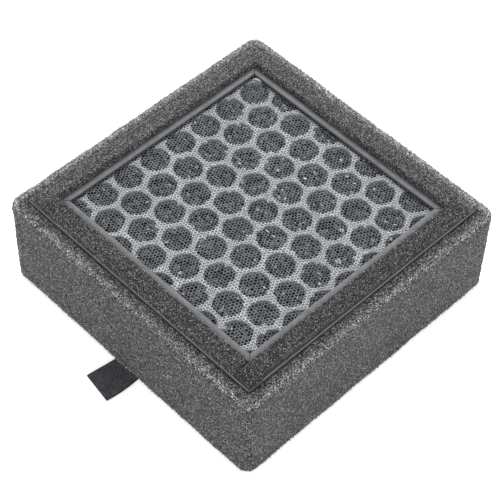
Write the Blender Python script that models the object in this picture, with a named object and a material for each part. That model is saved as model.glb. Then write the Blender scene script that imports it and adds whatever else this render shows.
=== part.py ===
"""Foam-wrapped filter cartridge: a carbon honeycomb stage over a pleated stage, in a square frame.

The origin is the centre of the cartridge's lower face. +Z points up, out of the honeycomb face.
The pull tab leaves under the -Y side. Lengths are in metres.
"""

from math import cos, pi, radians, sin, sqrt

import bmesh
import bpy
from mathutils import Matrix, Vector

MM = 0.001
GAP = 0.3 * MM  # clearance between neighbouring solids

# Outer size
HALF = 60 * MM  # half the square outline, over the foam
WRAP_HEIGHT = 38.65 * MM
WRAP_THICKNESS = 5 * MM
WRAP_CORNER = 4.3 * MM
WRAP_TOP_ROUND = 2.5 * MM
WRAP_FOOT_ROUND = 1 * MM
WRAP_INNER_ROUND = 0.4 * MM
WRAP_JOINT_X = 22 * MM  # where the ends of the wrapped strip meet, on the +Y side

# Frame: four C-section rails, mitred at the corners
FRAME_FOOT = 0.8 * MM
FRAME_TOP = 39.85 * MM
FRAME_WALL = 0.8 * MM
FRAME_HALF = HALF - WRAP_THICKNESS - GAP
WINDOW_HALF = HALF - 15.5 * MM  # the square opening between the flanges
LIP_ROUND = 0.3 * MM

# Gasket: four foam strips on the upper flange
GASKET_TOP = 42.09 * MM
GASKET_OUTER = HALF - 6.6 * MM
GASKET_FOOT_INNER = HALF - 13.3 * MM
GASKET_TOP_INNER = HALF - 12.6 * MM
GASKET_ROUND = 0.5 * MM

# Media stack, from the lower face up
NET = 0.4 * MM
MEDIA_HALF = 52.1 * MM
REAR_NET_HALF = 49 * MM
PLEAT_FOOT = FRAME_FOOT + FRAME_WALL + GAP
PLEAT_HEIGHT = 23.6 * MM
PLEAT_SHEET = 0.5 * MM
PLEAT_COUNT = 16
BAND = 1 * MM
BED_LAYER = 0.8 * MM
GRANULE_DROP = 2.4 * MM  # how far the granules stand below the rim of the cells
NET_DROP = 0.6 * MM  # how far the front net lies below the flange
GRID_TOP = FRAME_TOP - FRAME_WALL - NET_DROP - NET - GAP
GRID_DEPTH = 10.1 * MM

# Honeycomb: columns of cells along Y, every other column shifted by half a cell
CELL_PITCH_X = 10.70 * MM
CELL_PITCH_Y = 12.03 * MM
CELL_FLATS = 10.58 * MM  # across the flats of one opening
CELL_ORIGIN = (3.22 * MM, -10.18 * MM)  # the middle of one cell
COLUMNS = range(-7, 7)
ROWS = range(-6, 8)
GRID_TURN = radians(-1.2)
GRID_RIM = 1.2 * MM
LEAST_CELL = 12 * MM * MM  # cut cells smaller than this are left solid

# Hot melt: how far each bead's foot and top stand below the grid's top, or above the pleats' foot
CARBON_BEAD = (8 * MM, 3 * MM)
PLEAT_BEAD = (6 * MM, 18 * MM)

# Pull tab: one ribbon, bonded under the lower flange
RIBBON = 0.5 * MM
RIBBON_WIDTH = 12.3 * MM
RIBBON_X = -0.4 * MM  # its centre line
RIBBON_ROOT_Y = -HALF - 0.6 * MM  # the fold line, just outside the foam
RIBBON_LENGTH = 12.6 * MM  # free length past the fold line
ANCHOR_END_Y = -REAR_NET_HALF - 2 * GAP

TURN_SIDES = {"front": -90, "right": 0, "back": 90, "left": 180}  # a side's outward direction, degrees


def clear_scene():
    for obj in list(bpy.data.objects):
        bpy.data.objects.remove(obj, do_unlink=True)


def material(name, colour, roughness):
    mat = bpy.data.materials.new(name)
    mat.use_nodes = True
    shader = mat.node_tree.nodes["Principled BSDF"]
    shader.inputs["Base Color"].default_value = (*colour, 1)
    shader.inputs["Roughness"].default_value = roughness
    shader.inputs["Metallic"].default_value = 0
    return mat


def mesh_object(name, bm, mat):
    """Turns a bmesh into a named object with its faces pointing out."""
    bmesh.ops.recalc_face_normals(bm, faces=bm.faces)
    mesh = bpy.data.meshes.new(name)
    bm.to_mesh(mesh)
    bm.free()
    mesh.materials.append(mat)
    obj = bpy.data.objects.new(name, mesh)
    bpy.context.scene.collection.objects.link(obj)
    return obj


def box(name, low, high, mat):
    bm = bmesh.new()
    bmesh.ops.create_cube(bm, size=1)
    size = Vector(high) - Vector(low)
    bmesh.ops.scale(bm, vec=size, verts=bm.verts)
    bmesh.ops.translate(bm, vec=(Vector(high) + Vector(low)) / 2, verts=bm.verts)
    return mesh_object(name, bm, mat)


def bridge(bm, loops, closed):
    """Joins rings of vertices, a quad strip between each pair; closed also joins the last to the first."""
    pairs = list(zip(loops, loops[1:]))
    if closed:
        pairs.append((loops[-1], loops[0]))
    for a, b in pairs:
        for i in range(len(a)):
            j = (i + 1) % len(a)
            bm.faces.new((a[i], a[j], b[j], b[i]))


def loft(name, rings, mat, closed=False):
    """A solid through rings of points. Open lofts get a cap on each end."""
    bm = bmesh.new()
    loops = [[bm.verts.new(p) for p in ring] for ring in rings]
    bridge(bm, loops, closed)
    if not closed:
        bm.faces.new(loops[0])
        bm.faces.new(loops[-1])
    return mesh_object(name, bm, mat)


def arc(centre, radius, start, end, steps):
    """Points on a circle's arc in the (inward, up) plane, angles in degrees."""
    angles = [radians(start + (end - start) * i / steps) for i in range(steps + 1)]
    return [(centre[0] + radius * cos(a), centre[1] + radius * sin(a)) for a in angles]


def rounded_square(half, radius, steps, z):
    """A square ring of points with rounded corners, counter-clockwise."""
    ring = []
    for quarter in range(4):
        turn = Matrix.Rotation(quarter * pi / 2, 3, "Z")
        for i in range(steps + 1):
            a = i / steps * pi / 2
            corner = Vector((half - radius + radius * cos(a), half - radius + radius * sin(a), z))
            ring.append(turn @ corner)
    return ring


def cut(obj, *cutters):
    for cutter in cutters:
        cutter.hide_render = True
        cutter.display_type = "WIRE"
        boolean = obj.modifiers.new("cut_" + cutter.name, "BOOLEAN")
        boolean.operation = "DIFFERENCE"
        boolean.solver = "EXACT"
        boolean.object = cutter


def place_side(obj, side):
    """Turns a piece that was made facing +X so that it faces its own side."""
    obj.rotation_euler.z = radians(TURN_SIDES[side])


def foam_side_wrap(mat):
    """One foam strip round all four sides, with a notch over the ribbon and a butt joint at the back."""
    steps = 5
    foot = arc((WRAP_FOOT_ROUND, WRAP_FOOT_ROUND), WRAP_FOOT_ROUND, 270, 180, 3)
    top = arc((WRAP_TOP_ROUND, WRAP_HEIGHT - WRAP_TOP_ROUND), WRAP_TOP_ROUND, 180, 90, 4)
    inner = [(WRAP_THICKNESS, WRAP_HEIGHT), (WRAP_THICKNESS, 0)]
    rings = []
    for inward, z in foot + top + inner:
        radius = max(WRAP_CORNER - inward, WRAP_INNER_ROUND)
        rings.append(rounded_square(HALF - inward, radius, steps, z))
    wrap = loft("foam_side_wrap", rings, mat, closed=True)
    reach = 2 * WRAP_THICKNESS  # the cutters stand out this far past the strip
    notch_half = RIBBON_WIDTH / 2 + GAP
    notch = box(
        "ribbon_notch",
        (RIBBON_X - notch_half, -HALF - reach, -reach),
        (RIBBON_X + notch_half, -HALF + reach, RIBBON + GAP),
        mat,
    )
    joint = box(
        "joint_slit",
        (WRAP_JOINT_X, HALF - reach, -reach),
        (WRAP_JOINT_X + GAP, HALF + reach, WRAP_HEIGHT + reach),
        mat,
    )
    cut(wrap, notch, joint)
    return wrap


def frame_rail(side, mat):
    """A C-section rail: a wall with a flange at the top and the foot, both edges of the lip rounded."""
    r = LIP_ROUND
    outer = HALF - FRAME_HALF
    window = HALF - WINDOW_HALF
    profile = [(outer, FRAME_FOOT)]
    profile += arc((outer + r, FRAME_TOP - r), r, 180, 90, 2)
    profile += arc((window - r, FRAME_TOP - r), r, 90, 0, 3)
    profile += [
        (window, FRAME_TOP - FRAME_WALL),
        (outer + FRAME_WALL, FRAME_TOP - FRAME_WALL),
        (outer + FRAME_WALL, FRAME_FOOT + FRAME_WALL),
        (window, FRAME_FOOT + FRAME_WALL),
        (window, FRAME_FOOT),
    ]
    rings = []
    for end in (-1, 1):
        ring = [(HALF - d, end * (HALF - d - GAP / 2), z) for d, z in profile]
        rings.append(ring)
    rail = loft("frame_rail_" + side, rings, mat)
    place_side(rail, side)
    return rail


def gasket_strip(side, mat):
    """A foam strip glued to the flange. The left and right strips run the full length."""
    foot = FRAME_TOP + GAP
    r = GASKET_ROUND
    profile = [(GASKET_OUTER, foot)]
    profile += arc((GASKET_OUTER - r, GASKET_TOP - r), r, 0, 90, 2)
    profile += arc((GASKET_TOP_INNER + r, GASKET_TOP - r), r, 90, 180, 2)
    profile += [(GASKET_FOOT_INNER, foot)]
    full = side in ("left", "right")
    reach = GASKET_OUTER if full else GASKET_FOOT_INNER - GAP
    rings = [[(x, end * reach, z) for x, z in profile] for end in (-1, 1)]
    strip = loft("gasket_strip_" + side, rings, mat)
    place_side(strip, side)
    return strip


def flat_net(name, half, foot, mat):
    return box(name, (-half, -half, foot), (half, half, foot + NET), mat)


def clipped(polygon, limit):
    """The part of a polygon inside the square |x|, |y| < limit."""
    for axis, sign in ((0, 1), (0, -1), (1, 1), (1, -1)):
        kept = []
        for i, q in enumerate(polygon):
            p = polygon[i - 1]
            inside_p = sign * p[axis] <= limit
            inside_q = sign * q[axis] <= limit
            if inside_p != inside_q:
                share = (sign * limit - p[axis]) / (q[axis] - p[axis])
                kept.append(p.lerp(q, share))
            if inside_q:
                kept.append(q)
        polygon = kept
        if not polygon:
            return []
    return polygon


def area(polygon):
    total = sum(polygon[i - 1].cross(q) for i, q in enumerate(polygon))
    return abs(total) / 2


def cells(inset):
    """The outline of each honeycomb opening, cut off at the grid's rim and drawn in by inset."""
    radius = (CELL_FLATS / 2 - inset) / cos(pi / 6)
    limit = MEDIA_HALF - GRID_RIM - inset
    turn = Matrix.Rotation(GRID_TURN, 2)
    hexagon = [Vector((radius * cos(k * pi / 3), radius * sin(k * pi / 3))) for k in range(6)]
    found = []
    for column in COLUMNS:
        for row in ROWS:
            x = column * CELL_PITCH_X
            y = (row + 0.5 * (column % 2)) * CELL_PITCH_Y
            middle = Vector(CELL_ORIGIN) + turn @ Vector((x, y))
            outline = clipped([middle + turn @ corner for corner in hexagon], limit)
            if len(outline) > 2 and area(outline) > LEAST_CELL:
                found.append(outline)
    return found


def prisms(name, outlines, foot, top, mat):
    """One upright prism for each outline, in one object."""
    bm = bmesh.new()
    for outline in outlines:
        low = [bm.verts.new((p.x, p.y, foot)) for p in outline]
        high = [bm.verts.new((p.x, p.y, top)) for p in outline]
        bridge(bm, [low, high], False)
        bm.faces.new(low)
        bm.faces.new(high)
    return mesh_object(name, bm, mat)


def honeycomb_grid(mat):
    foot = GRID_TOP - GRID_DEPTH
    past = 1 * MM  # the openings' cutter stands past both faces
    grid = box(
        "honeycomb_grid",
        (-MEDIA_HALF, -MEDIA_HALF, foot),
        (MEDIA_HALF, MEDIA_HALF, GRID_TOP),
        mat,
    )
    cut(grid, prisms("cell_openings", cells(0), foot - past, GRID_TOP + past, mat))
    return grid


def carbon_bed(mat):
    """The granules in the cells, joined by the thin layer that they stand on."""
    layer_top = GRID_TOP - GRID_DEPTH - GAP
    half = MEDIA_HALF - GAP
    bed = box("carbon_bed", (-half, -half, layer_top - BED_LAYER), (half, half, layer_top), mat)
    fill = prisms("cell_fill", cells(GAP), layer_top - BED_LAYER / 2, GRID_TOP - GRANULE_DROP, mat)
    fill.hide_render = True
    fill.display_type = "WIRE"
    join = bed.modifiers.new("join_fill", "BOOLEAN")
    join.operation = "UNION"
    join.solver = "EXACT"
    join.object = fill
    return bed


def hepa_pleats(mat):
    """One folded sheet, its folds along X: a zigzag of constant wall thickness."""
    half = MEDIA_HALF - BAND - 2 * GAP
    pitch = 2 * half / PLEAT_COUNT
    slope = PLEAT_HEIGHT / (pitch / 2)
    upright = PLEAT_SHEET * sqrt(1 + slope * slope)
    low = PLEAT_FOOT
    high = PLEAT_FOOT + PLEAT_HEIGHT - upright
    under = []
    for i in range(2 * PLEAT_COUNT + 1):
        under.append((-half + i * pitch / 2, low if i % 2 == 0 else high))
    over = [(y, z + upright) for y, z in reversed(under)]
    reach = MEDIA_HALF - BAND - 2 * GAP
    rings = [[(x, y, z) for y, z in under + over] for x in (-reach, reach)]
    return loft("hepa_pleats", rings, mat)


def pleat_band(side, mat):
    """A thin stiff strip bonded along one edge of the pleated pack."""
    full = side in ("left", "right")
    reach = MEDIA_HALF if full else MEDIA_HALF - BAND - GAP
    band = box(
        "pleat_band_" + side,
        (MEDIA_HALF - BAND, -reach, PLEAT_FOOT),
        (MEDIA_HALF, reach, PLEAT_FOOT + PLEAT_HEIGHT),
        mat,
    )
    place_side(band, side)
    return band


def sealing_bead(name, foot, top, mat):
    """A bead of hot melt all round, between a stage's edge and the frame's walls."""
    outer = FRAME_HALF - FRAME_WALL - GAP
    inner = MEDIA_HALF + GAP
    rings = []
    for half, z in ((outer, foot), (outer, top), (inner, top), (inner, foot)):
        rings.append([(half * x, half * y, z) for x, y in ((1, 1), (-1, 1), (-1, -1), (1, -1))])
    return loft(name, rings, mat, closed=True)


def ribbon(name, start_y, end_y, mat):
    """A stretch of the flat ribbon, with its origin at start_y."""
    half = RIBBON_WIDTH / 2
    low_y, high_y = sorted((0, end_y - start_y))
    piece = box(name, (-half, low_y, -RIBBON / 2), (half, high_y, RIBBON / 2), mat)
    piece.location = (RIBBON_X, start_y, RIBBON / 2)
    return piece


def build():
    clear_scene()
    foam = material("foam", (0.135, 0.14, 0.142), 0.95)
    plastic = material("frame_plastic", (0.22, 0.22, 0.24), 0.5)
    netting = material("net", (0.38, 0.41, 0.45), 0.7)
    grid_plastic = material("grid_plastic", (0.3, 0.34, 0.39), 0.55)
    carbon = material("carbon", (0.05, 0.05, 0.052), 0.8)
    paper = material("pleat_media", (0.8, 0.8, 0.78), 0.9)
    band_card = material("pleat_band", (0.72, 0.72, 0.7), 0.85)
    hot_melt = material("hot_melt", (0.75, 0.72, 0.62), 0.4)
    webbing = material("ribbon", (0.03, 0.032, 0.036), 0.7)

    foam_side_wrap(foam)
    for side in TURN_SIDES:
        frame_rail(side, plastic)
        gasket_strip(side, foam)
        pleat_band(side, band_card)
    flat_net("front_net", MEDIA_HALF, GRID_TOP + GAP, netting)
    honeycomb_grid(grid_plastic)
    carbon_bed(carbon)
    flat_net("middle_net", MEDIA_HALF, PLEAT_FOOT + PLEAT_HEIGHT + GAP, netting)
    hepa_pleats(paper)
    flat_net("rear_net", REAR_NET_HALF, 0, netting)
    sealing_bead("sealing_bead_carbon", GRID_TOP - CARBON_BEAD[0], GRID_TOP - CARBON_BEAD[1], hot_melt)
    sealing_bead("sealing_bead_pleats", PLEAT_FOOT + PLEAT_BEAD[0], PLEAT_FOOT + PLEAT_BEAD[1], hot_melt)
    ribbon("pull_tab", RIBBON_ROOT_Y, RIBBON_ROOT_Y - RIBBON_LENGTH, webbing)
    ribbon("pull_tab_anchor", RIBBON_ROOT_Y + GAP, ANCHOR_END_Y, webbing)


build()
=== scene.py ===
"""Looks for the foam-wrapped filter cartridge: foam skins, netting, honeycomb, granules and ribbon.

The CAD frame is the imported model. Lengths are in metres, positions come from the CAD boxes.
"""

from math import atan2, copysign, cos, exp, hypot, pi, radians, sin, sqrt, tan

import bmesh
import bpy
import numpy as np
from mathutils import Matrix, Vector


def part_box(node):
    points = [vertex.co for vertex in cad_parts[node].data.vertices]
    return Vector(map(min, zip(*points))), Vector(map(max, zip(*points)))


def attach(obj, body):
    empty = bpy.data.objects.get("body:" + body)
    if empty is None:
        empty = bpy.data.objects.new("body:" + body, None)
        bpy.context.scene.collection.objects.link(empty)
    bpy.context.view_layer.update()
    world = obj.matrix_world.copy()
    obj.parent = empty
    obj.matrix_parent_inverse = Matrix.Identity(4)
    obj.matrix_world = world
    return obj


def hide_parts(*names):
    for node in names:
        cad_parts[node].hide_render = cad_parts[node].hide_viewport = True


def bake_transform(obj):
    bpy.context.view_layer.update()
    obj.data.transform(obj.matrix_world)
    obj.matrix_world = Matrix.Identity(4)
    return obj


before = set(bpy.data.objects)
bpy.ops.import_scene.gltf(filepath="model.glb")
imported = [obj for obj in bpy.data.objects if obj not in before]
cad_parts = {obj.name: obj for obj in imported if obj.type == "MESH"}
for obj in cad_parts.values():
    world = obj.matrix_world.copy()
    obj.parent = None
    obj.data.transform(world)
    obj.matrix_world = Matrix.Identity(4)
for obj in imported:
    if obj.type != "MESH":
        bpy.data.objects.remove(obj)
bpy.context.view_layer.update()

MM = 0.001
BODY = "cartridge"
SIDES = {"front": -90, "right": 0, "back": 90, "left": 180}  # degrees round from +X

# Places, read from the CAD boxes
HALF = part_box("foam_side_wrap")[1].x
WRAP_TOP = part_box("foam_side_wrap")[1].z
FRAME_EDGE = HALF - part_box("frame_rail_right")[1].x
LIP_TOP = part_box("frame_rail_front")[1].z
GASKET_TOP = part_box("gasket_strip_right")[1].z
GASKET_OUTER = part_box("gasket_strip_right")[1].x
GRID_LOW, GRID_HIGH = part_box("honeycomb_grid")
GRID_HALF = GRID_HIGH.x
BED_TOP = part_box("carbon_bed")[1].z
NET_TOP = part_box("front_net")[1].z
REAR_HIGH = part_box("rear_net")[1]
TAB_LOW, TAB_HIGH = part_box("pull_tab")
ANCHOR_LOW, ANCHOR_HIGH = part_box("pull_tab_anchor")

# The window inside the frame's lip
LIP_INWARD = 15.5 * MM  # from the outline to the lip's inner edge
WINDOW_HALF = HALF - LIP_INWARD

# Foam wrap
WRAP_THICK = 5 * MM
WRAP_CORNER = 4.3 * MM
WRAP_TOP_ROUND = 2.6 * MM
WRAP_FOOT_ROUND = 1 * MM
WRAP_RISE = 0.55 * MM  # how far the foam swells up against the frame
WRAP_STEP = 0.52 * MM  # spacing of the skin's points
JOINT_X = 22.15 * MM  # the strip's butt joint, on the +Y side
JOINT_GAP = 0.25 * MM
STANDING_SHARE = 0.07  # the share of a foam skin's points that stand out
SUNK_SHARE = 0.16  # and the share that sinks in

# Gasket foam: how far in from the outline its inner face lies, at its top and at its foot
GASKET_INNER_TOP = 12.6 * MM
GASKET_INNER_FOOT = 13.3 * MM
GASKET_ROUND = 0.8 * MM
GASKET_STEP = 0.4 * MM  # spacing of the skin's points
GASKET_LIFT = 0.02 * MM  # clear of the flange
GASKET_SKEW = 0.85 * MM  # how much further in the right strip lies at the front than at the back
SKEW_END = 47.5 * MM  # past this place towards the front corner the right strip covers the flange again
RIGHT_OVERRUN = 1.2 * MM  # how far the right strip runs on at the back corner
# Painted light and shade: the front and right strips are darkened and the back and left ones lightened
GASKET_PAINTED_LIGHT = {"front": 0.80, "right": 0.75, "back": 1.26, "left": 1.36}  # how light each strip is

# Honeycomb, as the CAD grid is laid out
PITCH_X = 10.70 * MM  # between columns
PITCH_Y = 12.03 * MM  # along a column
CELL_FLATS = 10.5 * MM
CELL_CORNER = 4.5 * MM
CELL_REACH = 6 * MM  # from a cell's middle to a little past its rim
CELL_ORIGIN = (3.22 * MM, -10.18 * MM)
CELL_STEPS = 12  # points on a sixth of a cell's rim
GRID_TURN = radians(-1.2)
BURR_CHANCES = (0.3, 0.35, 0.2, 0.15)  # that a cell's rim has no burr, one, two or three

# Carbon
GRANULES_PER_CELL = 56
PALE_SHARE = 0.15  # of the granules

# Nets
NET_PITCH = 1.235 * MM
NET_HOLE = 0.70  # a hole's share of the pitch
REAR_NET_PITCH = 1.5 * MM
REAR_NET_HOLE = 0.7
NET_TUCK = 1.6 * MM  # how far the front net runs on under the lip
NET_THICK = 0.14 * MM
KNOT_RISE = 0.05 * MM
CLOGGED_SHARE = 0.08  # of the holes
CLOGGED_SIZE = 0.5  # against an open hole

# The photograph's view, fitted to the outline; distance and shifts are in sides of the cartridge
AZIMUTH = radians(44.524)
ELEVATION = radians(51.496)
ROLL = radians(1.609)
DISTANCE = 4.9341
SHIFT_LEFT = 0.0013
SHIFT_DOWN = 0.1310
LENS = 123.26  # millimetres, for a 36 mm sensor


# ---------------------------------------------------------------- node helpers


def new_material(name):
    """A new material, its node tree and its shader."""
    mat = bpy.data.materials.new(name)
    mat.use_nodes = True
    tree = mat.node_tree
    return mat, tree, tree.nodes["Principled BSDF"]


def connect(tree, node, **inputs):
    """Sets a node's inputs to values, or links them where a socket is given. An underscore stands for a
    space, and i0, i1 and so on name an input by its number."""
    for key, value in inputs.items():
        numbered = key[0] == "i" and key[1:].isdigit()
        socket = node.inputs[int(key[1:]) if numbered else key.replace("_", " ")]
        if isinstance(value, bpy.types.NodeSocket):
            tree.links.new(value, socket)
        else:
            socket.default_value = value


def add(tree, kind, **inputs):
    """A new node of that kind with its inputs set."""
    node = tree.nodes.new(kind)
    connect(tree, node, **inputs)
    return node


def place(tree):
    """Where on the piece a point lies, in metres."""
    return tree.nodes.new("ShaderNodeTexCoord").outputs["Object"]


def attribute(tree, name):
    """A number that the mesh holds for each of its points."""
    node = tree.nodes.new("ShaderNodeAttribute")
    node.attribute_name = name
    return node.outputs["Fac"]


def maths(tree, operation, *values):
    """The result of a maths node on numbers or sockets."""
    node = add(tree, "ShaderNodeMath", **{f"i{k}": value for k, value in enumerate(values)})
    node.operation = operation
    return node.outputs[0]


def edge_distance(tree):
    """How far in from the cartridge's square outline a point lies."""
    size = add(tree, "ShaderNodeVectorMath", i0=place(tree))
    size.operation = "ABSOLUTE"
    xyz = add(tree, "ShaderNodeSeparateXYZ", Vector=size.outputs["Vector"])
    larger = maths(tree, "MAXIMUM", xyz.outputs["X"], xyz.outputs["Y"])
    return maths(tree, "SUBTRACT", HALF, larger)


def spread(tree, value, low, high):
    """A value between low and high as 0 to 1."""
    return add(tree, "ShaderNodeMapRange", Value=value, From_Min=low, From_Max=high).outputs["Result"]


def noise(tree, size, detail=2.0, roughness=0.5):
    """A noise whose blobs are about size metres across."""
    node = add(tree, "ShaderNodeTexNoise", Vector=place(tree), Scale=1 / size)
    connect(tree, node, Detail=detail, Roughness=roughness)
    return node.outputs["Fac"]


def pores(tree, size):
    """The distance from the nearest of a set of scattered points, in cells of that size."""
    return add(tree, "ShaderNodeTexVoronoi", Vector=place(tree), Scale=1 / size).outputs["Distance"]


def flecks(tree, size):
    """A number from 0 to 1, the same all over each small cell and random from one cell to the next."""
    cells = add(tree, "ShaderNodeTexVoronoi", Vector=place(tree), Scale=1 / size)
    return add(tree, "ShaderNodeSeparateColor", Color=cells.outputs["Color"]).outputs["Red"]


def ramp(tree, fac, *stops):
    """A colour ramp through (position, grey or colour) stops."""
    node = add(tree, "ShaderNodeValToRGB", Fac=fac)
    points = node.color_ramp.elements
    while len(points) < len(stops):
        points.new(0.5)
    for point, (at, colour) in zip(points, stops):
        point.position = at
        if not isinstance(colour, tuple):
            colour = (colour,) * 3
        point.color = (*colour, 1)
    return node.outputs["Color"]


def blend_colours(tree, mode, fac, a, b):
    """Two colours put together. A Mix node's colours are its inputs 6 and 7, the result its output 2."""
    node = tree.nodes.new("ShaderNodeMix")
    node.data_type = "RGBA"
    node.blend_type = mode
    a, b = ((*colour, 1) if isinstance(colour, tuple) else colour for colour in (a, b))
    connect(tree, node, i0=fac, i6=a, i7=b)
    return node.outputs[2]


def multiplied(tree, colour, *factors):
    """A colour multiplied by others in turn."""
    for factor in factors:
        colour = blend_colours(tree, "MULTIPLY", 1.0, colour, factor)
    return colour


def bump(tree, shader, height, distance, strength):
    """Gives a shader small bumps of that height in metres."""
    node = add(tree, "ShaderNodeBump", Height=height, Distance=distance, Strength=strength)
    connect(tree, shader, Normal=node.outputs["Normal"])


# ------------------------------------------------------------------- materials


def foam_material(name, tint, level, grain):
    """Open-cell foam: dark pores between grey struts, a few of them lightened as painted glints. The mesh's
    painted light lightens outer edges as a painted highlight and darkens crevices as painted shade."""
    mat, tree, shader = new_material(name)
    cell = ramp(tree, pores(tree, grain), (0.22, 0.12), (0.46, 0.80), (0.70, 2.4))
    fine = ramp(tree, flecks(tree, grain * 0.75), (0.0, 0.22), (0.5, 0.72), (0.85, 1.4), (1.0, 2.8))
    drift = ramp(tree, noise(tree, 14 * MM), (0.3, 0.92), (0.7, 1.08))
    # Painted glints: a few small cells made pale as if catching the light
    glint = ramp(tree, flecks(tree, grain * 0.62), (0.965, 0.0), (0.975, 1.0))
    grey = tuple(level * part for part in tint)
    base = multiplied(tree, cell, fine, drift, attribute(tree, "painted_light"), grey)
    base = blend_colours(tree, "MIX", glint, base, (0.28, 0.28, 0.28))
    connect(tree, shader, Base_Color=base, Roughness=0.8, Specular_IOR_Level=0.12)
    connect(tree, shader, Sheen_Weight=0.1, Sheen_Roughness=0.4)
    bump(tree, shader, noise(tree, grain * 0.7, 1.0), 0.3 * MM, 0.8)
    return mat


def strut_material():
    """Single foam struts, paler than the foam because no pores darken them."""
    mat, tree, shader = new_material("foam_struts")
    base = ramp(tree, noise(tree, 1.5 * MM, 1.0), (0.3, 0.07), (0.5, 0.22), (0.7, 0.60))
    connect(tree, shader, Base_Color=base, Roughness=0.6, Sheen_Weight=0.2)
    return mat


def plastic_material():
    """Satin grey moulding with a faint violet cast, with painted shade on its outer wall and beside the
    gasket and a painted highlight along the flange's outer edge.
    """
    mat, tree, shader = new_material("lip_plastic")
    base = ramp(tree, noise(tree, 6 * MM, 3.0), (0.3, (0.078, 0.077, 0.085)), (0.7, (0.108, 0.107, 0.116)))
    reach = 16 * MM
    inward = spread(tree, edge_distance(tree), 0, reach)
    # How far in from the outline, and how light the moulding is painted there: painted shade on the outer
    # wall, a painted highlight on the flange's edge, painted shade under the gasket's outer foot and beside
    # its inner foot
    stops = (
        (FRAME_EDGE - 0.05 * MM, 0.3), (FRAME_EDGE + 0.06 * MM, 2.0), (FRAME_EDGE + 0.14 * MM, 1.5),
        (FRAME_EDGE + 0.26 * MM, 0.2), (GASKET_INNER_FOOT - 0.1 * MM, 0.30), (13.9 * MM, 0.70),
        (14.7 * MM, 1.05),
    )
    # Painted shade and highlight, by distance from the outline
    painted_shade_and_highlight = ramp(tree, inward, *((at / reach, grey) for at, grey in stops))
    base = multiplied(tree, base, painted_shade_and_highlight)
    rough = ramp(tree, noise(tree, 2 * MM), (0.3, 0.42), (0.7, 0.6))
    connect(tree, shader, Base_Color=base, Roughness=rough, Specular_IOR_Level=0.35)
    bump(tree, shader, noise(tree, 0.25 * MM, 1.0), 0.03 * MM, 0.5)
    return mat


def net_material(name, clean, soiled_and_shaded):
    """Fine knitted netting, pale at its knots. The mesh's soil says where powdered carbon greys it, and
    where it is darkened beside the lip as painted shadow.
    """
    mat, tree, shader = new_material(name)
    colour = blend_colours(tree, "MIX", attribute(tree, "soil_and_shadow"), clean, soiled_and_shaded)
    thread = ramp(tree, noise(tree, 0.35 * MM), (0.3, 0.72), (0.7, 1.28))
    knot = ramp(tree, attribute(tree, "knot"), (0.0, 0.42), (0.4, 0.95), (1.0, 2.6))
    drift = ramp(tree, noise(tree, 9 * MM), (0.3, 0.9), (0.7, 1.08))
    base = multiplied(tree, colour, thread, knot, drift)
    connect(tree, shader, Base_Color=base, Roughness=0.6, Specular_IOR_Level=0.2)
    bump(tree, shader, noise(tree, 0.2 * MM, 1.0), 0.05 * MM, 0.6)
    return mat


def grid_material():
    """Pale blue-grey moulded grid, darkened and blued down its cells as painted shade, and darkened under
    the lip as painted shadow.
    """
    mat, tree, shader = new_material("grid_plastic")
    base = ramp(tree, noise(tree, 3 * MM, 3.0), (0.3, (0.27, 0.285, 0.30)), (0.7, (0.33, 0.345, 0.36)))
    xyz = add(tree, "ShaderNodeSeparateXYZ", Vector=place(tree))
    height = spread(tree, xyz.outputs["Z"], BED_TOP - 0.2 * MM, GRID_HIGH.z)
    shade = ramp(
        tree, height, (0.0, (0.24, 0.29, 0.34)), (0.5, (0.68, 0.82, 0.95)), (0.93, (0.85, 0.98, 1.1)),
        (1.0, (1.0, 1.0, 1.0)),
    )
    wander = maths(tree, "MULTIPLY_ADD", noise(tree, 5 * MM), 1.6 * MM, edge_distance(tree))
    past_lip = spread(tree, wander, LIP_INWARD + 0.7 * MM, LIP_INWARD + 1.7 * MM)
    # Painted shadow: the grid goes dark past the lip's edge
    lip_shadow_on_grid = ramp(tree, past_lip, (0.4, 0.05), (0.6, 1.0))
    speck = ramp(tree, noise(tree, 0.5 * MM), (0.35, 0.78), (0.6, 1.0))
    base = multiplied(tree, base, shade, lip_shadow_on_grid, speck)
    connect(tree, shader, Base_Color=base, Roughness=0.5)
    bump(tree, shader, noise(tree, 0.3 * MM, 1.0), 0.04 * MM, 0.5)
    return mat


def carbon_material():
    """Granular activated carbon: near black with dusty facets. The mesh's dust marks the pale flakes, whose
    paleness is partly a painted glint.
    """
    mat, tree, shader = new_material("carbon")
    dark = ramp(
        tree, noise(tree, 1.1 * MM, 3.0, 0.6),
        (0.35, (0.004, 0.004, 0.004)), (0.55, (0.012, 0.0115, 0.011)), (0.72, (0.03, 0.029, 0.027)),
    )
    base = blend_colours(tree, "MIX", attribute(tree, "dust_and_glint"), dark, (0.55, 0.53, 0.49))
    rough = ramp(tree, noise(tree, 0.8 * MM), (0.35, 0.25), (0.65, 0.6))
    connect(tree, shader, Base_Color=base, Roughness=rough, Specular_IOR_Level=0.2)
    bump(tree, shader, noise(tree, 0.3 * MM, 3.0), 0.1 * MM, 0.8)
    return mat


def paper_material(name, dark, light):
    """Fibrous paper or card."""
    mat, tree, shader = new_material(name)
    base = ramp(tree, noise(tree, 0.8 * MM, 5.0, 0.7), (0.3, dark), (0.7, light))
    connect(tree, shader, Base_Color=base, Roughness=0.9)
    bump(tree, shader, noise(tree, 0.5 * MM, 4.0), 0.06 * MM, 0.6)
    return mat


def melt_material():
    """Cloudy hot-melt adhesive."""
    mat, tree, shader = new_material("hot_melt")
    base = ramp(tree, noise(tree, 3 * MM, 3.0), (0.3, (0.55, 0.50, 0.38)), (0.7, (0.72, 0.68, 0.56)))
    connect(tree, shader, Base_Color=base, Roughness=0.35, Subsurface_Weight=0.2, Subsurface_Scale=1 * MM)
    bump(tree, shader, noise(tree, 2 * MM), 0.2 * MM, 0.5)
    return mat


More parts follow.
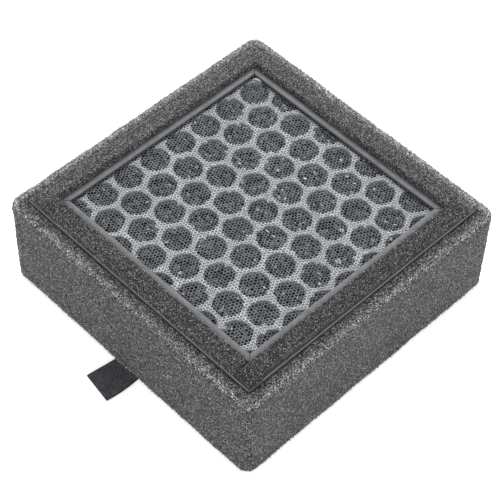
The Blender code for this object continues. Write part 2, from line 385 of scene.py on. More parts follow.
def ribbon_material():
    """Black woven tape with a dull sheen: fine ribs across its width, and darkened where the mesh's across
    marks its edges, as painted shadow."""
    mat, tree, shader = new_material("ribbon_weave")
    rib_pitch = 0.65 * MM
    wave = add(tree, "ShaderNodeTexWave", Vector=place(tree), Scale=pi / (10 * rib_pitch), Distortion=1.2)
    wave.wave_type = "BANDS"
    wave.bands_direction = "Y"
    rib = ramp(tree, wave.outputs["Fac"], (0.2, (0.017, 0.018, 0.022)), (0.8, (0.035, 0.037, 0.044)))
    thread = ramp(tree, flecks(tree, 0.5 * MM), (0.1, 0.4), (0.9, 1.8))
    # Painted shadow along both edges of the tape
    painted_edge_shadow = ramp(tree, attribute(tree, "across"), (0.86, 1.0), (0.97, 0.15))
    base = multiplied(tree, rib, thread, painted_edge_shadow)
    connect(tree, shader, Base_Color=base, Roughness=0.62, Sheen_Weight=0.1)
    bump(tree, shader, wave.outputs["Fac"], 0.05 * MM, 0.5)
    return mat


# ---------------------------------------------------------------- mesh helpers


def linked(name, data):
    """A new object in the scene that holds that data."""
    obj = bpy.data.objects.new(name, data)
    bpy.context.scene.collection.objects.link(obj)
    return obj


def object_from(name, points, faces, mat, smooth=True):
    """A mesh object of those points and faces."""
    mesh = bpy.data.meshes.new(name)
    mesh.from_pydata([tuple(p) for p in points], [], faces)
    mesh.update()
    mesh.materials.append(mat)
    if smooth:
        mesh.shade_smooth()
    return linked(name, mesh)


def strip_faces(rows, columns):
    """Quads of a tube of rows of points, each row a closed ring, with a cap on both ends."""
    faces = []
    for r in range(rows - 1):
        for c in range(columns):
            d = (c + 1) % columns
            faces.append((r * columns + d, r * columns + c, (r + 1) * columns + c, (r + 1) * columns + d))
    faces.append(tuple(range(columns)))
    faces.append(tuple(rows * columns - 1 - c for c in range(columns)))
    return faces


def arc(centre, radius, start, end, steps):
    """Points of an arc between two angles in degrees."""
    angles = [radians(start + (end - start) * i / steps) for i in range(steps + 1)]
    return [(centre[0] + radius * cos(a), centre[1] + radius * sin(a)) for a in angles]


def flat_section(columns):
    """Places round a flat strip's section: -1 to 1 across it, with 1 for its upper face or -1 for its lower
    one."""
    return [(face * (-1 + 2 * c / columns), face) for face in (1, -1) for c in range(columns + 1)]


def resampled(outline, steps_of):
    """A closed outline with each stretch cut into the steps that steps_of gives for it."""
    points = []
    for i, a in enumerate(outline):
        b = outline[(i + 1) % len(outline)]
        count = steps_of(a, b)
        for k in range(count):
            t = k / count
            points.append((a[0] + (b[0] - a[0]) * t, a[1] + (b[1] - a[1]) * t))
    return points


def ripple(points, rng, size):
    """A smooth random height for each point, about -1 to 1, with waves about size long."""
    waves = 14
    total = np.zeros(len(points))
    for _ in range(waves):
        way = rng.normal(size=3)
        way /= np.linalg.norm(way)
        length = size * rng.uniform(0.7, 1.6)
        total += np.sin(points @ way * 2 * pi / length + rng.uniform(0, 2 * pi))
    return total / sqrt(waves / 2) / 1.6


def coordinates(mesh):
    """A mesh's points as an array."""
    co = np.zeros(len(mesh.vertices) * 3, np.float32)
    mesh.vertices.foreach_get("co", co)
    return co.reshape(-1, 3).astype(float)


def normals(mesh):
    """The normal at each of a mesh's points."""
    n = np.zeros(len(mesh.vertices) * 3, np.float32)
    mesh.vertex_normals.foreach_get("vector", n)
    return n.reshape(-1, 3).astype(float)


def set_coordinates(mesh, co):
    """Moves a mesh's points to those of an array."""
    mesh.vertices.foreach_set("co", co.astype(np.float32).ravel())
    mesh.update()


def inward_of(co):
    """How far in from the square outline each point lies."""
    return HALF - np.maximum(np.abs(co[:, 0]), np.abs(co[:, 1]))


def store(obj, name, values):
    """Keeps one number for each point of a mesh, for its material to read."""
    layer = obj.data.attributes.new(name, "FLOAT", "POINT")
    layer.data.foreach_set("value", np.asarray(values, np.float32))


def roughen_foam(obj, rng, depth, lowest):
    """Moves each point of a foam skin along its normal: pores, struts that stand out, and slow waves."""
    wave_depth, wave_length = 0.12 * MM, 16 * MM
    co = coordinates(obj.data)
    count = len(co)
    move = rng.normal(0, 0.35, count)
    stands = rng.random(count) < STANDING_SHARE
    move[stands] += rng.uniform(0.4, 1.5, stands.sum())
    sunk = rng.random(count) < SUNK_SHARE
    move[sunk] -= rng.uniform(0.3, 1.2, sunk.sum())
    move = depth * move + wave_depth * ripple(co, rng, wave_length)
    co += normals(obj.data) * move[:, None]
    co[:, 2] = np.maximum(co[:, 2], lowest)
    set_coordinates(obj.data, co)


# ------------------------------------------------------------------------ foam


def wrap_profile():
    """The foam strip's section as (inward, z), from the foot of its outer side upwards."""
    foot = arc((WRAP_FOOT_ROUND, WRAP_FOOT_ROUND), WRAP_FOOT_ROUND, 270, 180, 3)
    top = arc((WRAP_TOP_ROUND, WRAP_TOP - WRAP_TOP_ROUND), WRAP_TOP_ROUND, 180, 90, 7)
    inner = [
        (WRAP_THICK - 1.3 * MM, WRAP_TOP + 0.1 * MM), (WRAP_THICK - 0.3 * MM, WRAP_TOP + WRAP_RISE),
        (WRAP_THICK + 0.1 * MM, WRAP_TOP + WRAP_RISE - 0.25 * MM), (WRAP_THICK, 0.3 * MM),
        (WRAP_THICK - 0.3 * MM, 0),
    ]

    def steps(a, b):
        hidden = min(a[0], b[0]) >= WRAP_THICK
        step = 4 * MM if hidden else WRAP_STEP
        return max(1, round(hypot(a[0] - b[0], a[1] - b[1]) / step))

    return resampled(foot + top + inner, steps)


def wrap_painted_light(inward, z):
    """Painted light and shade: lighter on the rounded outer edge as a painted highlight, darker towards the
    seam with the frame as painted shade.
    """
    ridge, ridge_width = 0.76 * MM, 0.85 * MM
    away = hypot(inward - ridge, z - (WRAP_TOP - ridge)) / ridge_width
    # Painted highlight along the rounded outer edge
    painted_light = 1 + 1.9 * exp(-away * away)
    # Painted shade: the upper face darkens towards the seam
    if z > WRAP_TOP - 0.5 * MM:
        level = 2 * MM  # how far in the upper face starts to darken
        painted_light *= 1.65 - 1.05 * min(1, max(0, (inward - level) / (WRAP_THICK - level)))
    return painted_light


def perimeter():
    """Stations round the square with rounded corners, as (point on the outline, outward direction). They
    start and end at the butt joint on the +Y side."""
    flat = HALF - WRAP_CORNER
    corner_steps = 12
    stations = []

    def straight(a, b, out):
        count = max(1, round((b - a).length / WRAP_STEP))
        stations.extend((a.lerp(b, k / count), out) for k in range(count))

    def corner(centre, turn):
        for k in range(corner_steps):
            angle = turn + k / corner_steps * pi / 2
            out = Vector((cos(angle), sin(angle)))
            stations.append((centre + out * WRAP_CORNER, out))

    end = Vector((JOINT_X + JOINT_GAP / 2, HALF))
    straight(Vector((JOINT_X - JOINT_GAP / 2, HALF)), Vector((-flat, HALF)), Vector((0, 1)))
    corner(Vector((-flat, flat)), pi / 2)
    straight(Vector((-HALF, flat)), Vector((-HALF, -flat)), Vector((-1, 0)))
    corner(Vector((-flat, -flat)), pi)
    straight(Vector((-flat, -HALF)), Vector((flat, -HALF)), Vector((0, -1)))
    corner(Vector((flat, -flat)), 1.5 * pi)
    straight(Vector((HALF, -flat)), Vector((HALF, flat)), Vector((1, 0)))
    corner(Vector((flat, flat)), 0)
    straight(Vector((flat, HALF)), end, Vector((0, 1)))
    stations.append((end, Vector((0, 1))))
    return stations


def turned_in(spot, out, inward):
    """The point at that depth of the wrap. Past the corner's own centre the depth runs square to the sides,
    so that the wrap's inner corner is square."""
    limited = min(inward, WRAP_CORNER - 0.35 * MM)
    square = Vector([copysign(min(1, sqrt(2) * abs(part)), part) for part in out])
    return spot - out * limited - square * (inward - limited)


def side_foam(mat):
    """The foam strip round the four sides, butted at the back, pressed up over the ribbon. Its left and
    back sides have a band of painted light along the top."""
    profile = wrap_profile()
    points = []
    for spot, out in perimeter():
        points.extend((*turned_in(spot, out, inward), z) for inward, z in profile)
    rows = len(points) // len(profile)
    obj = object_from("side_foam", points, strip_faces(rows, len(profile)), mat)
    painted_light = np.array([wrap_painted_light(inward, z) for inward, z in profile] * rows)
    # Painted light: a lighter band along the top of the left and back sides
    band, band_width, brightest = 1.8 * MM, 1.6 * MM, 4.2
    co = coordinates(obj.data)
    off_band = np.maximum(-co[:, 0], co[:, 1]) - HALF + band
    painted_rim_light = np.exp(-(off_band / band_width) ** 2) * (co[:, 2] > WRAP_TOP - 0.6 * MM)
    store(obj, "painted_light", np.minimum(painted_light * (1 + 1.8 * painted_rim_light), brightest))
    roughen_foam(obj, np.random.default_rng(11), 0.17 * MM, 0.02 * MM)
    lift_over_ribbon(obj)
    return obj


def lift_over_ribbon(obj):
    """Presses the foot of the wrap up where the ribbon passes under it."""
    slope = 1.2 * MM
    co = coordinates(obj.data)
    middle = (ANCHOR_LOW.x + ANCHOR_HIGH.x) / 2
    reach = (ANCHOR_HIGH.x - ANCHOR_LOW.x) / 2 + 0.3 * MM
    side = np.abs(co[:, 0] - middle)
    lift = (ANCHOR_HIGH.z + 0.25 * MM) * np.clip((reach + slope - side) / slope, 0, 1)
    over = (co[:, 1] < -HALF + WRAP_THICK + 1 * MM) & (co[:, 2] < 3 * MM)
    co[over, 2] = np.maximum(co[over, 2], lift[over] + 0.25 * co[over, 2])
    set_coordinates(obj.data, co)


def foot_inward(side, along):
    """How far in from the outline the gasket's outer foot lies, at that place along the strip. The right
    one was stuck on a little askew and bares the flange's edge towards the front, all but at its end."""
    near = FRAME_EDGE + 0.2 * MM
    if side != "right":
        return near
    if along < -SKEW_END:
        return FRAME_EDGE - 0.25 * MM
    return near + GASKET_SKEW * (GASKET_OUTER - along) / (2 * GASKET_OUTER)


def gasket_section(side, along):
    """The gasket's section as (x, z), from its outer foot up and inwards, for a strip that faces +X."""
    foot, top = LIP_TOP + GASKET_LIFT, GASKET_TOP
    inner_top = HALF - GASKET_INNER_TOP
    small = 0.6 * MM
    outline = [(HALF - foot_inward(side, along), foot), (GASKET_OUTER + 0.1 * MM, foot + small)]
    outline += arc((GASKET_OUTER - GASKET_ROUND, top - GASKET_ROUND), GASKET_ROUND, 0, 90, 3)
    outline += arc((inner_top + small, top - small), small, 90, 180, 3)
    outline += [(HALF - GASKET_INNER_FOOT, foot)]

    def steps(a, b):
        if a[1] == b[1] == foot:
            return 4
        length = hypot(a[0] - b[0], a[1] - b[1])
        if length > 1.5 * MM:
            return round(length / GASKET_STEP)
        return 2 if length > 0.7 * MM else 1

    return resampled(outline, steps)


def gasket_height(z):
    """A height as 0 at the gasket's foot to 1 at its top."""
    return min(1, max(0, (z - LIP_TOP) / (GASKET_TOP - LIP_TOP)))


def gasket_end(side, z, reach):
    """How far from the middle of its side a strip ends, at that height. Full strips flare at their foot,
    and the short ones meet the slanting inner faces of their neighbours."""
    up = gasket_height(z)
    if side in ("left", "right"):
        return min(reach + 0.9 * MM * max(0, 1 - 3 * up), HALF - FRAME_EDGE + 0.1 * MM)
    return HALF - GASKET_INNER_FOOT + (GASKET_INNER_FOOT - GASKET_INNER_TOP) * up - 0.04 * MM


def gasket_painted_light(side, x, z):
    """Painted light and shade for each strip: darker down its inner face as painted shade, lighter on its
    outer one as painted light, and each strip lightened or darkened as a whole.
    """
    shade = 1.0
    # Painted shade down the inner face, painted light on the outer one
    if x < HALF - GASKET_INNER_TOP + 0.15 * MM:
        up = gasket_height(z)
        shade = 0.70 + 0.30 * up * up
    elif x > GASKET_OUTER - 0.4 * MM:
        shade = 1.5
    return GASKET_PAINTED_LIGHT[side] * shade


def gasket_foam(side, mat, seed):
    """One foam strip of the gasket, made facing +X and turned to its side."""
    full = side in ("left", "right")
    rows = round(2 * GASKET_OUTER / GASKET_STEP)
    points, painted_lights = [], []
    for r in range(rows + 1):
        t = -1 + 2 * r / rows
        reach = GASKET_OUTER + (RIGHT_OVERRUN if side == "right" and t > 0 else 0)
        for x, z in gasket_section(side, t * GASKET_OUTER):
            y = t * gasket_end(side, z, reach)
            into_round = GASKET_ROUND - (reach - abs(y)) if full else 0
            if into_round > 0:
                z = min(z, GASKET_TOP - GASKET_ROUND + sqrt(max(0, GASKET_ROUND ** 2 - into_round ** 2)))
            points.append((x, y, z))
            # Painted light and shade for each point
            painted_lights.append(gasket_painted_light(side, x, z))
    columns = len(points) // (rows + 1)
    obj = object_from("gasket_foam_" + side, points, strip_faces(rows + 1, columns), mat)
    store(obj, "painted_light", painted_lights)
    roughen_foam(obj, np.random.default_rng(seed), 0.11 * MM, LIP_TOP + GASKET_LIFT)
    obj.data.transform(Matrix.Rotation(radians(SIDES[side]), 4, "Z"))
    return obj


def struts(name, skins, rng, mat):
    """Cut ends of foam struts: short slanting spikes that stand out of the foam. skins lists (mesh, which
    of its points may hold one, how many, their length)."""
    shape = [(cos(k * 2 * pi / 3), sin(k * 2 * pi / 3)) for k in range(3)]
    buried = 0.15 * MM
    points, faces = [], []
    for mesh, allowed, count, length in skins:
        chosen = rng.choice(np.flatnonzero(allowed), count)
        root = coordinates(mesh)[chosen]
        lean = normals(mesh)[chosen] + rng.normal(0, 0.5, (count, 3))
        lean /= np.linalg.norm(lean, axis=1)[:, None]
        side = np.cross(lean, rng.normal(size=(count, 3)))
        side /= np.linalg.norm(side, axis=1)[:, None]
        other = np.cross(lean, side)
        width = rng.uniform(0.07, 0.15, (count, 1)) * MM
        tip = root + lean * length * rng.uniform(0.35, 1.0, (count, 1))
        tip[:, 2] = np.maximum(tip[:, 2], 0.1 * MM)
        start = root - lean * buried
        corners = [start + width * (a * side + b * other) for a, b in shape]
        first = len(points) + 4 * np.arange(count)
        points.extend(np.stack([*corners, tip], axis=1).reshape(-1, 3))
        for k in first:
            faces += [(k, k + 2, k + 1), (k, k + 1, k + 3), (k + 1, k + 2, k + 3), (k + 2, k, k + 3)]
    return object_from(name, points, faces, mat, smooth=False)


def open_wrap(mesh):
    """Which points of the wrap lie on its outer side or its top."""
    co, n = coordinates(mesh), normals(mesh)
    outward = n[:, 0] * co[:, 0] + n[:, 1] * co[:, 1] > 0.3 * HALF
    return (co[:, 2] > 0.8 * MM) & (outward | (n[:, 2] > 0.3)) & (inward_of(co) < WRAP_THICK - 0.5 * MM)


def top_edge(mesh, ragged):
    """Which points of the wrap lie on its rounded upper edge: along its left and back sides, which are
    ragged, or along the other two."""
    co = coordinates(mesh)
    at_left_or_back = np.maximum(-co[:, 0], co[:, 1]) > np.maximum(co[:, 0], -co[:, 1])
    on_edge = (co[:, 2] > WRAP_TOP - 2.2 * MM) & (inward_of(co) < 2.4 * MM)
    return (at_left_or_back == ragged) & on_edge


def lower_edge(mesh):
    """Which points of the wrap lie on its outer side just above its foot."""
    co = coordinates(mesh)
    return (co[:, 2] > 0.3 * MM) & (co[:, 2] < 2 * MM) & (inward_of(co) < 1 * MM)


def top_band(mesh):
    """Which points of the wrap lie on its cut upper face, between the rounded edge and the frame."""
    co = coordinates(mesh)
    inward = inward_of(co)
    return (co[:, 2] > WRAP_TOP - 0.6 * MM) & (inward > 1 * MM) & (inward < WRAP_THICK - 0.6 * MM)


def open_gasket(mesh):
    """Which points of a gasket strip lie on its top or near it."""
    co, n = coordinates(mesh), normals(mesh)
    return (co[:, 2] > LIP_TOP + 0.5 * MM) & (n[:, 2] > -0.2)


# ------------------------------------------------------------------------- net


def netting(name, half, pitch, hole, rng, mat):
    """Knitted net in the XY plane: strands round each hole, raised most of all at the knots where three of
    them meet. hole is the hole's share of the pitch. The mesh's knot is 0 at a hole and 1 at a knot."""
    radius = pitch / sqrt(3)
    row_pitch = pitch * sqrt(3) / 2
    rows = int(half / row_pitch)
    columns = int(half / pitch)
    around = 12
    ways = [(cos(k * pi / 6), sin(k * pi / 6), k % 2 == 0) for k in range(around)]
    points, faces, knot, index = [], [], [], {}

    def ridge(x, y, is_side):
        key = (round(x / (pitch * 0.1)), round(y / (pitch * 0.1)))
        if key not in index:
            index[key] = len(points)
            points.append((x, y, 0 if is_side else KNOT_RISE))
            knot.append(0.35 if is_side else 1)
        return index[key]

    for r in range(-rows, rows + 1):
        for c in range(-columns, columns + (r % 2 == 0)):
            x = (c + 0.5 * (r % 2)) * pitch
            y = r * row_pitch
            start = len(points)
            clogged = CLOGGED_SIZE if rng.random() < CLOGGED_SHARE else 1
            wide = hole * pitch / 2 * rng.uniform(0.68, 1.24) * clogged
            for a, b, _ in ways:
                size = wide * rng.uniform(0.92, 1.1)
                points.append((x + size * a, y + size * b, -NET_THICK))
                knot.append(0)
            outer = []
            for a, b, is_side in ways:
                reach = pitch / 2 if is_side else radius
                outer.append(ridge(x + reach * a, y + reach * b, is_side))
            for k in range(around):
                m = (k + 1) % around
                faces.append((start + k, outer[k], outer[m], start + m))
    obj = object_from(name, points, faces, mat)
    store(obj, "knot", knot)
    co = coordinates(obj.data)
    flat = co.copy()
    for axis in (0, 1):
        co[:, axis] += 0.12 * pitch * ripple(flat, rng, 4 * MM) + 0.5 * pitch * ripple(flat, rng, 40 * MM)
    co += rng.normal(0, 0.025 * MM, co.shape)
    set_coordinates(obj.data, co)
    return obj


def cell_middles():
    """The middles of all the cells that reach into the honeycomb's square."""
    turn = Matrix.Rotation(GRID_TURN, 2)
    found = []
    for column in range(-7, 7):
        for row in range(-6, 8):
            spot = Vector((column * PITCH_X, (row + 0.5 * (column % 2)) * PITCH_Y))
            middle = Vector(CELL_ORIGIN) + turn @ spot
            if max(abs(middle.x), abs(middle.y)) < GRID_HALF + CELL_REACH:
                found.append(middle)
    return found


def rim_size(cell, angle):
    """How far out that cell's rim lies at an angle, against an even one: a little uneven, and in most cells
    narrowed by one to three burrs of flash."""
    rng = np.random.default_rng((5, cell))
    phase = rng.uniform(0, 2 * pi, 3)
    size = 1 + 0.014 * np.sin(2 * angle + phase[0]) + 0.012 * np.sin(5 * angle + phase[1])
    size = size + 0.006 * np.sin(9 * angle + phase[2])
    burr_width = 0.14
    for _ in range(rng.choice(len(BURR_CHANCES), p=BURR_CHANCES)):
        at, deep = rng.uniform(-pi, pi), rng.uniform(0.08, 0.30)
        away = (angle - at + pi) % (2 * pi) - pi
        size = size - deep * np.exp(-(away / burr_width) ** 2)
    return size


def rim_distance(co):
    """How far each point lies from the rim of the nearest cell, negative inside it."""
    core = CELL_FLATS / 2 - CELL_CORNER
    nearest = np.full(len(co), 1.0)
    offset = np.zeros((len(co), 2))
    for cell, middle in enumerate(cell_middles()):
        away = co[:, :2] - np.array(middle)
        far = np.hypot(away[:, 0], away[:, 1])
        closer = far < nearest
        nearest[closer] = far[closer]
        angle = np.arctan2(away[closer, 1], away[closer, 0]) - GRID_TURN
        offset[closer] = away[closer] / rim_size(cell, angle)[:, None]
    rim = np.full(len(co), -1.0)
    for k in range(6):
        angle = k * pi / 3 + pi / 6 + GRID_TURN
        ahead = offset @ (cos(angle), sin(angle)) - core
        beside = np.abs(offset @ (-sin(angle), cos(angle))) - core * tan(pi / 6)
        past = np.where((ahead > 0) & (beside > 0), np.hypot(ahead, beside), ahead)
        rim = np.maximum(rim, past)
    return rim - CELL_CORNER


def front_netting(mat, half):
    """The net over the honeycomb: it dips over each cell, powdered carbon greys it there, and painted
    shadow darkens it by the lip.
    """
    obj = netting("net_mesh", half, NET_PITCH, NET_HOLE, np.random.default_rng(3), mat)
    co = coordinates(obj.data)
    rim = rim_distance(co)
    inside = np.clip(-rim / (4 * MM), 0, 1)
    dip = 0.3 * MM * inside * (2 - inside)
    co[:, 2] += NET_TOP - 0.28 * MM - dip
    set_coordinates(obj.data, co)
    from_lip = WINDOW_HALF - np.maximum(np.abs(co[:, 0]), np.abs(co[:, 1]))
    # Painted shadow: the net darkens within 0.8 mm of the lip
    lip_shadow_on_net = np.clip(1 - from_lip / (0.8 * MM), 0, 0.85)
    over_cell = np.clip(0.95 - rim / (0.35 * MM), 0, 1)
    store(obj, "soil_and_shadow", np.maximum(over_cell, lip_shadow_on_net))
    return obj


# ------------------------------------------------------------------- honeycomb


def cell_outline(cell, middle):
    """A hexagon with rounded corners and an uneven rim, starting in the middle of its +X corner."""
    core = (CELL_FLATS / 2 - CELL_CORNER) / cos(pi / 6)
    turn = Matrix.Rotation(GRID_TURN, 2)
    shaped = []
    for k in range(6):
        centre = Vector((cos(k * pi / 3), sin(k * pi / 3))) * core
        for i in range(CELL_STEPS):
            angle = k * pi / 3 + radians(-30 + 60 * i / (CELL_STEPS - 1))
            p = centre + Vector((cos(angle), sin(angle))) * CELL_CORNER
            shaped.append(middle + turn @ (p * rim_size(cell, atan2(p.y, p.x))))
    return shaped[CELL_STEPS // 2:] + shaped[:CELL_STEPS // 2]


def cell_border(middle):
    """The hexagon half way to the six neighbours, starting at its +X corner."""
    turn = Matrix.Rotation(GRID_TURN, 2)
    side_x = PITCH_X / 2 + PITCH_Y * PITCH_Y / (8 * PITCH_X)
    short_x = PITCH_X - side_x
    corners = [
        Vector((side_x, 0)), Vector((short_x, PITCH_Y / 2)), Vector((-short_x, PITCH_Y / 2)),
        Vector((-side_x, 0)), Vector((-short_x, -PITCH_Y / 2)), Vector((short_x, -PITCH_Y / 2)),
    ]
    points = []
    for k in range(6):
        a, b = corners[k], corners[(k + 1) % 6]
        points.extend(middle + turn @ a.lerp(b, i / CELL_STEPS) for i in range(CELL_STEPS))
    return points


def honeycomb(mat):
    """The moulded grid: walls with soft edges round every cell, cut square at its rim."""
    top, foot = GRID_HIGH.z, GRID_LOW.z
    soft = 0.22 * MM
    count = 6 * CELL_STEPS
    bm = bmesh.new()
    for cell, middle in enumerate(cell_middles()):
        border = cell_border(middle)
        inner = cell_outline(cell, middle)
        wide = [p + (p - middle).normalized() * soft for p in inner]
        half = [p + (p - middle).normalized() * soft * 0.3 for p in inner]
        rings = [
            (border, foot), (inner, foot), (inner, top - soft), (half, top - soft * 0.3), (wide, top),
            (border, top),
        ]
        made = [[bm.verts.new((*p, z)) for p in ring] for ring, z in rings]
        for a, b in zip(made, made[1:]):
            for i in range(count):
                j = (i + 1) % count
                bm.faces.new((a[i], b[i], b[j], a[j]))
    bmesh.ops.remove_doubles(bm, verts=bm.verts, dist=0.02 * MM)
    for axis in (Vector((1, 0, 0)), Vector((0, 1, 0))):
        for sign in (1, -1):
            geom = bm.verts[:] + bm.edges[:] + bm.faces[:]
            bmesh.ops.bisect_plane(
                bm, geom=geom, plane_co=axis * sign * GRID_HALF, plane_no=axis * sign, clear_outer=True
            )
            bmesh.ops.holes_fill(bm, edges=[e for e in bm.edges if e.is_boundary], sides=0)
    bmesh.ops.recalc_face_normals(bm, faces=bm.faces)
    mesh = bpy.data.meshes.new("honeycomb_cells")
    bm.to_mesh(mesh)
    bm.free()
    mesh.materials.append(mat)
    mesh.shade_smooth()
    mesh.set_sharp_from_angle(angle=radians(50))
    return linked("honeycomb_cells", mesh)


# -------------------------------------------------------------------- granules


def icosahedron():
    """The points and faces of a regular 20-sided solid."""
    bm = bmesh.new()
    bmesh.ops.create_icosphere(bm, subdivisions=1, radius=1)
    points = np.array([v.co[:] for v in bm.verts])
    faces = [tuple(v.index for v in f.verts) for f in bm.faces]
    bm.free()
    return points, faces


def granules(mat):
    """Angular carbon granules at the top of each cell's fill, and some pale flakes that cling under the
    net. The mesh's dust is how pale a granule is, partly a painted glint."""
    rng = np.random.default_rng(23)
    shape, faces = icosahedron()
    points, triangles, dust_and_glint = [], [], []
    reach = CELL_FLATS / 2 - 0.9 * MM
    limit = GRID_HALF - 2 * MM
    for middle in cell_middles():
        if max(abs(middle.x), abs(middle.y)) > WINDOW_HALF + CELL_REACH:
            continue
        for _ in range(GRANULES_PER_CELL):
            angle = rng.uniform(0, 2 * pi)
            d = reach * sqrt(rng.random())
            x, y = middle.x + d * cos(angle), middle.y + d * sin(angle)
            if max(abs(x), abs(y)) > limit:
                continue
            pale = rng.random() < PALE_SHARE
            size = rng.uniform(0.6, 1.3) * MM
            stretch = rng.uniform(0.4, 1.0, 3) * size * ((1, 0.6, 0.3) if pale else (1, 1, 1))
            chunk = shape * (1 + rng.uniform(-0.28, 0.12, (len(shape), 1))) * stretch
            way = Vector(rng.normal(size=3)).normalized()
            turn = np.array(Matrix.Rotation(rng.uniform(0, 2 * pi), 3, way))
            z = BED_TOP + (rng.uniform(1.7, 2.65) if pale else rng.uniform(-0.5, 0.5)) * MM
            start = len(points)
            points.extend(chunk @ turn.T + (x, y, z))
            triangles.extend(tuple(start + i for i in f) for f in faces)
            # Paleness of each granule, partly painted glint
            grey = rng.uniform(0.2, 0.75) if pale else rng.choice((0.0, 0.04, 0.18))
            dust_and_glint += [grey] * len(shape)
    obj = object_from("carbon_granules", points, triangles, mat, smooth=False)
    store(obj, "dust_and_glint", dust_and_glint)
    return obj


# ---------------------------------------------------------------------- ribbon


def pull_ribbon(mat):
    """The whole ribbon: its bonded end and its free end, which runs askew and is cut on a slant. The mesh's
    across is 0 along its middle and 1 at its edges."""
    middle = (TAB_HIGH.x + TAB_LOW.x) / 2
    start, end = ANCHOR_HIGH.y, TAB_LOW.y
    root_shift, tip_shift = 0.55 * MM, -0.55 * MM
    root_width, tip_width = 11.9 * MM, 12.7 * MM
    thick = 0.42 * MM
    rows, columns = 120, 40
    points, across = [], []
    for r in range(rows + 1):
        t = r / rows
        # 0 under the foam to 1 at the tip
        free = max(0.0, (-HALF - (start + (end - start) * t)) / (-HALF - end))
        for s, face in flat_section(columns):
            bulge = 0.5 * MM * sin(pi * free) * max(0, s)
            slant = (0.3 - 0.95 * s) * MM * free * free
            x = middle + root_shift + (tip_shift - root_shift) * free
            x += s * (root_width + (tip_width - root_width) * free) / 2
            x += bulge
            y = start + (end - start) * t + slant
            rounded = 0.35 + 0.65 * sqrt(max(0.0, 1 - abs(s) ** 14))
            wave = 0.10 * MM * (1 + sin(3.5 * t * pi + s)) * free
            rib = 0.015 * MM * sin(r * pi * 0.9)
            z = thick / 2 + 0.04 * MM + wave + face * (thick / 2 * rounded + rib)
            points.append((x, y, max(z, 0.01 * MM)))
            across.append(abs(s))
    obj = object_from("pull_ribbon", points, strip_faces(rows + 1, 2 * (columns + 1)), mat)
    store(obj, "across", across)
    return obj


# ----------------------------------------------------------------- small trims


def net_curl(mat):
    """A sliver of net's selvage that has come loose in the far corner and lies curled along the lip."""
    rows, columns = 24, 6
    start = Vector((-WINDOW_HALF + 0.7 * MM, WINDOW_HALF - 1.3 * MM))
    end = Vector((-WINDOW_HALF + 4.2 * MM, WINDOW_HALF - 0.5 * MM))
    across = Vector((start.y - end.y, end.x - start.x)).normalized()
    thick = 0.1 * MM
    points = []
    for r in range(rows + 1):
        t = r / rows
        bow = sin(pi * t)
        for s, face in flat_section(columns):
            aside = 0.45 * MM * bow + 0.32 * MM * s * (0.25 + 0.75 * bow)
            z = NET_TOP + 0.1 * MM + 0.3 * MM * bow * (0.5 + 0.5 * s) + face * thick / 2
            points.append((*(start.lerp(end, t) + across * aside), z))
    return object_from("net_corner_curl", points, strip_faces(rows + 1, 2 * (columns + 1)), mat)


# ----------------------------------------------------------------- the picture


def camera():
    """The photograph's view."""
    side = 2 * HALF
    back = Vector((sin(AZIMUTH) * cos(ELEVATION), -cos(AZIMUTH) * cos(ELEVATION), sin(ELEVATION)))
    right = Vector((cos(AZIMUTH), sin(AZIMUTH), 0))
    up = back.cross(right)
    across = right * cos(ROLL) + up * sin(ROLL)
    upward = up * cos(ROLL) - right * sin(ROLL)
    spot = back * DISTANCE * side - right * SHIFT_LEFT * side - up * SHIFT_DOWN * side
    spot += Vector((0, 0, LIP_TOP))
    data = bpy.data.cameras.new("camera")
    data.sensor_width = 36
    data.lens = LENS
    data.clip_start, data.clip_end = 0.01, 20
    obj = linked("camera", data)
    turn = Matrix((across, upward, back)).transposed().to_4x4()
    obj.matrix_world = Matrix.Translation(spot) @ turn
    bpy.context.scene.camera = obj


def area_light(name, spot, size, power):
    """A square white light that faces the cartridge. Its size is in metres and its power in watts."""
    aim = Vector((0, 0, 30 * MM))
    data = bpy.data.lights.new(name, "AREA")
    data.size = size
    data.energy = power
    obj = linked(name, data)
    obj.location = spot
    obj.rotation_mode = "QUATERNION"
    obj.rotation_quaternion = (aim - Vector(spot)).to_track_quat("-Z", "Y")


def studio():
    """Soft light from a pale dome, a broad light above and behind, a low one behind, and one in front."""
    world = bpy.data.worlds.new("studio")
    bpy.context.scene.world = world
    world.use_nodes = True
    connect(world.node_tree, world.node_tree.nodes["Background"], Color=(1, 1, 1, 1), Strength=0.9)
    area_light("key", (-0.45, 0.55, 0.9), 0.7, 9)
    area_light("rim", (-0.75, 0.85, 0.32), 0.7, 9)
    area_light("fill", (0.7, -0.7, 0.55), 0.9, 7)
    bpy.context.scene.view_settings.view_transform = "Standard"


def floor():
    """A white table top, lit a little from within as product tables are."""
    mat, tree, shader = new_material("floor")
    base = ramp(tree, noise(tree, 0.4), (0.3, 0.93), (0.7, 0.95))
    connect(tree, shader, Base_Color=base, Roughness=0.9, Specular_IOR_Level=0.1)
    connect(tree, shader, Emission_Color=(1, 1, 1, 1), Emission_Strength=0.3)
    size, z = 4, -0.3 * MM
    points = [(-size, -size, z), (size, -size, z), (size, size, z), (-size, size, z)]
    object_from("floor", points, [(0, 1, 2, 3)], mat, smooth=False)


# -------------------------------------------------------------------- assembly


def finish_node(node, mat):
    """Gives a CAD node that stays in view its material."""
    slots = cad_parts[node].data.materials
    slots.clear()
    slots.append(mat)


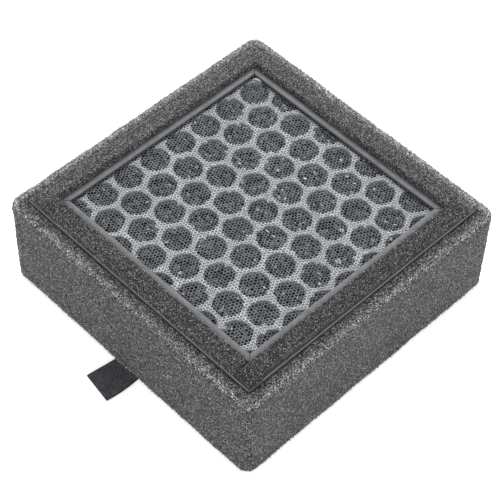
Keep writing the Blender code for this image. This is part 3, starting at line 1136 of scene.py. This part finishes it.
def foam():
    """The wrap, the gasket's four strips and the struts that stand out of them."""
    skin = foam_material("side_foam_cells", (1.0, 1.0, 1.0), 0.041, 0.50 * MM)
    ring_skin = foam_material("gasket_foam_cells", (0.97, 1.0, 1.02), 0.035, 0.42 * MM)
    strut = strut_material()
    wrap = side_foam(skin)
    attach(wrap, BODY)
    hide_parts("foam_side_wrap")
    rings = []
    for number, side in enumerate(SIDES):
        ring = gasket_foam(side, ring_skin, 31 + number)
        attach(ring, BODY)
        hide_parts("gasket_strip_" + side)
        rings.append(ring.data)
    skins = [
        (wrap.data, open_wrap(wrap.data), 11000, 0.55 * MM),
        (wrap.data, top_edge(wrap.data, True), 5500, 1.1 * MM),
        (wrap.data, top_edge(wrap.data, False), 1500, 0.45 * MM),
        (wrap.data, top_band(wrap.data), 3500, 0.6 * MM),
        (wrap.data, lower_edge(wrap.data), 3000, 0.9 * MM),
    ]
    spikes = struts("wrap_foam_struts", skins, np.random.default_rng(51), strut)
    skins = [(ring, open_gasket(ring), 1500, 0.45 * MM) for ring in rings]
    fine = struts("gasket_foam_struts", skins, np.random.default_rng(52), strut)
    for piece in (spikes, fine):
        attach(piece, BODY)


def nets():
    """The front and rear nets, the loose curl, and the middle net's material."""
    clean, soiled_and_shaded = (0.275, 0.288, 0.300), (0.074, 0.080, 0.085)
    strand = net_material("net_strands", clean, soiled_and_shaded)
    rear_strand = net_material("rear_net_strands", (0.52, 0.53, 0.54), soiled_and_shaded)
    half = WINDOW_HALF + NET_TUCK
    net = front_netting(strand, half)
    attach(net, BODY)
    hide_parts("front_net")
    rear_half = REAR_HIGH.x
    rear = netting("rear_net_mesh", rear_half - 1 * MM, REAR_NET_PITCH, REAR_NET_HOLE,
                   np.random.default_rng(4), rear_strand)
    rear.data.transform(Matrix.Translation((0, 0, REAR_HIGH.z - 0.05 * MM)))
    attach(rear, BODY)
    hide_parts("rear_net")
    trim = net_curl(net_material("net_curl", (0.95, 0.97, 0.99), soiled_and_shaded))
    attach(trim, BODY)
    finish_node("middle_net", strand)


def carbon_stage():
    """The honeycomb, the granules in its cells and the bed's material."""
    grid = honeycomb(grid_material())
    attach(grid, BODY)
    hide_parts("honeycomb_grid")
    carbon = carbon_material()
    finish_node("carbon_bed", carbon)
    grains = granules(carbon)
    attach(grains, BODY)


def ribbon():
    """The pull ribbon, one piece from its bonded end to its free end."""
    piece = pull_ribbon(ribbon_material())
    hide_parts("pull_tab", "pull_tab_anchor")
    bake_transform(piece)


def kept_nodes():
    """The materials of the rails, the pleated stage and the hot-melt beads."""
    plastic = plastic_material()
    card = paper_material("band_card", (0.55, 0.55, 0.53), (0.68, 0.68, 0.66))
    pleats = paper_material("pleat_paper", (0.62, 0.62, 0.60), (0.78, 0.78, 0.76))
    melt = melt_material()
    for side in SIDES:
        finish_node("frame_rail_" + side, plastic)
        finish_node("pleat_band_" + side, card)
    finish_node("hepa_pleats", pleats)
    finish_node("sealing_bead_carbon", melt)
    finish_node("sealing_bead_pleats", melt)


camera()
studio()
floor()
foam()
nets()
carbon_stage()
ribbon()
kept_nodes()
